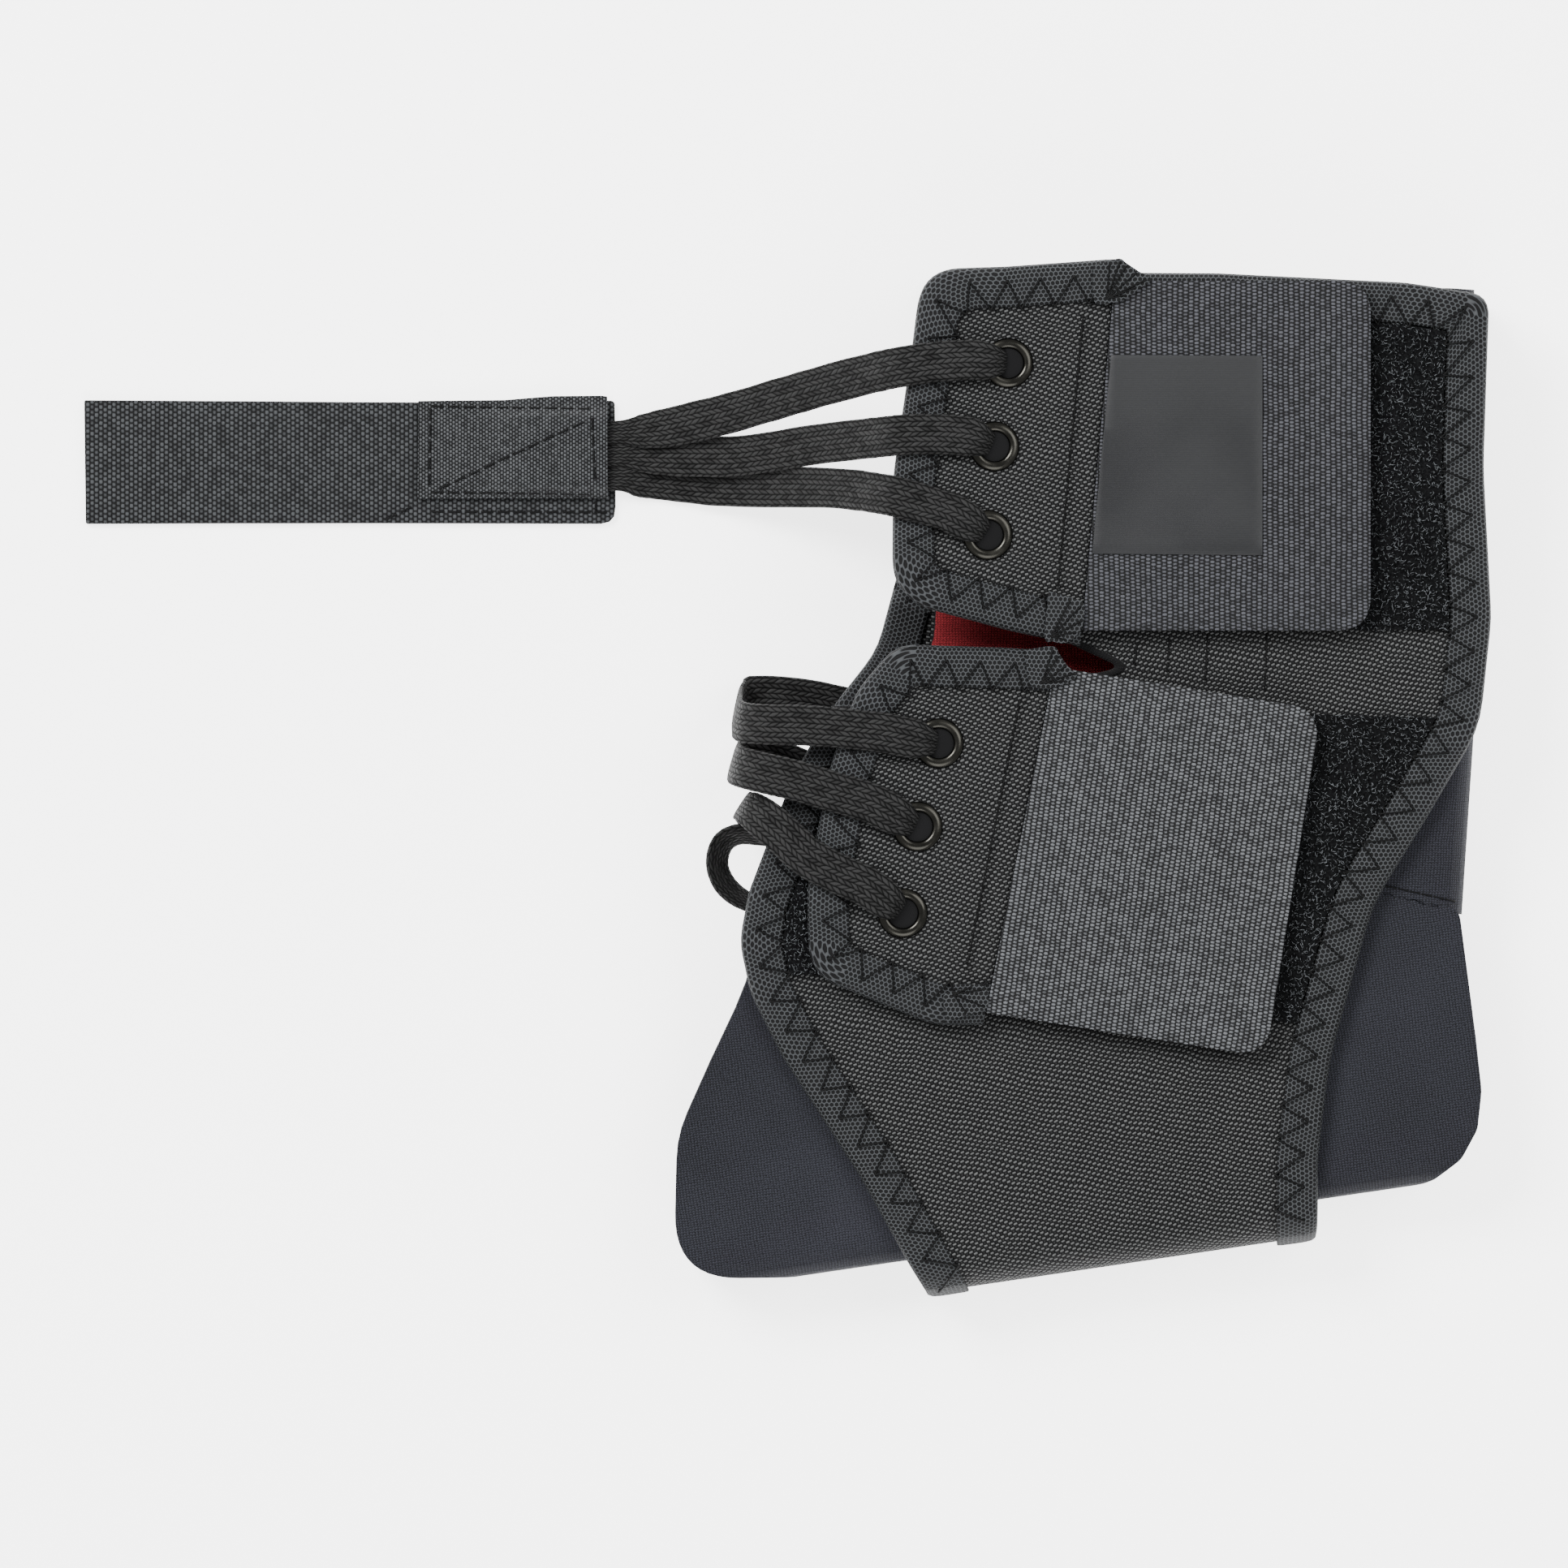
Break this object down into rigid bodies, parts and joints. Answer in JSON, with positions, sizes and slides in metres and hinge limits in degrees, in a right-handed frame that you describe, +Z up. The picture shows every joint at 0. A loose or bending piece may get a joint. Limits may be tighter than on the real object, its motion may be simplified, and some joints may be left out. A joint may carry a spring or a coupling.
{
  "type": "lace-up ankle brace",
  "caption": "Lace-up ankle support folded flat on its side: bound nylon shell, neoprene liners, hook tabs, eyelets, laces and a webbing pull tab.",
  "frame": {"origin": "middle of the whole part on the surface it lies on, the lowest point at zero", "axes": "+X from the pull tab at the toe side to the heel, +Y from the sole fold up the leg, +Z up through the flattened brace"},
  "size_m": [0.2891, 0.213, 0.0346],
  "materials": {
    "shell_nylon": "plain woven black nylon laminate",
    "mesh_tape": "net-faced stretch binding tape with zigzag stitching",
    "neoprene": "black jersey on foam, red jersey inside",
    "loop_pile": "matt fuzzy loop pile",
    "hook_backing": "grey woven backing of hook tape",
    "label_satin": "bare dark grey satin label patch",
    "webbing": "woven hook webbing with box stitching",
    "lace_braid": "flat braided lace",
    "eyelet_metal": "gunmetal, polished"
  },
  "bodies": {
    "root": {"shell": "shell_nylon", "shell_binding": "mesh_tape", "foot_liner": "neoprene", "ankle_liner": "neoprene", "near_upper_pile": "loop_pile", "far_upper_pile": "loop_pile", "near_lower_pile": "loop_pile", "far_lower_pile": "loop_pile", "near_front_pile": "loop_pile", "near_upper_flap": "shell_nylon", "near_upper_flap_binding": "mesh_tape", "near_upper_hook_tab": "hook_backing", "near_upper_eyelet_1": "eyelet_metal", "near_upper_eyelet_2": "eyelet_metal", "near_upper_eyelet_3": "eyelet_metal", "near_lower_flap": "shell_nylon", "near_lower_flap_binding": "mesh_tape", "near_lower_hook_tab": "hook_backing", "near_lower_eyelet_1": "eyelet_metal", "near_lower_eyelet_2": "eyelet_metal", "near_lower_eyelet_3": "eyelet_metal", "far_upper_flap": "shell_nylon", "far_upper_flap_binding": "mesh_tape", "far_upper_hook_tab": "hook_backing", "far_upper_eyelet_1": "eyelet_metal", "far_upper_eyelet_2": "eyelet_metal", "far_upper_eyelet_3": "eyelet_metal", "far_lower_flap": "shell_nylon", "far_lower_flap_binding": "mesh_tape", "far_lower_hook_tab": "hook_backing", "far_lower_eyelet_1": "eyelet_metal", "far_lower_eyelet_2": "eyelet_metal", "far_lower_eyelet_3": "eyelet_metal", "label_patch": "label_satin", "pull_tab": "webbing", "pull_tab_patch": "webbing", "upper_lace_1": "lace_braid", "upper_lace_2": "lace_braid", "upper_lace_3": "lace_braid", "lower_lace_1": "lace_braid", "lower_lace_2": "lace_braid", "lower_lace_3": "lace_braid", "slack_lace": "lace_braid"}
  },
  "joints": []
}
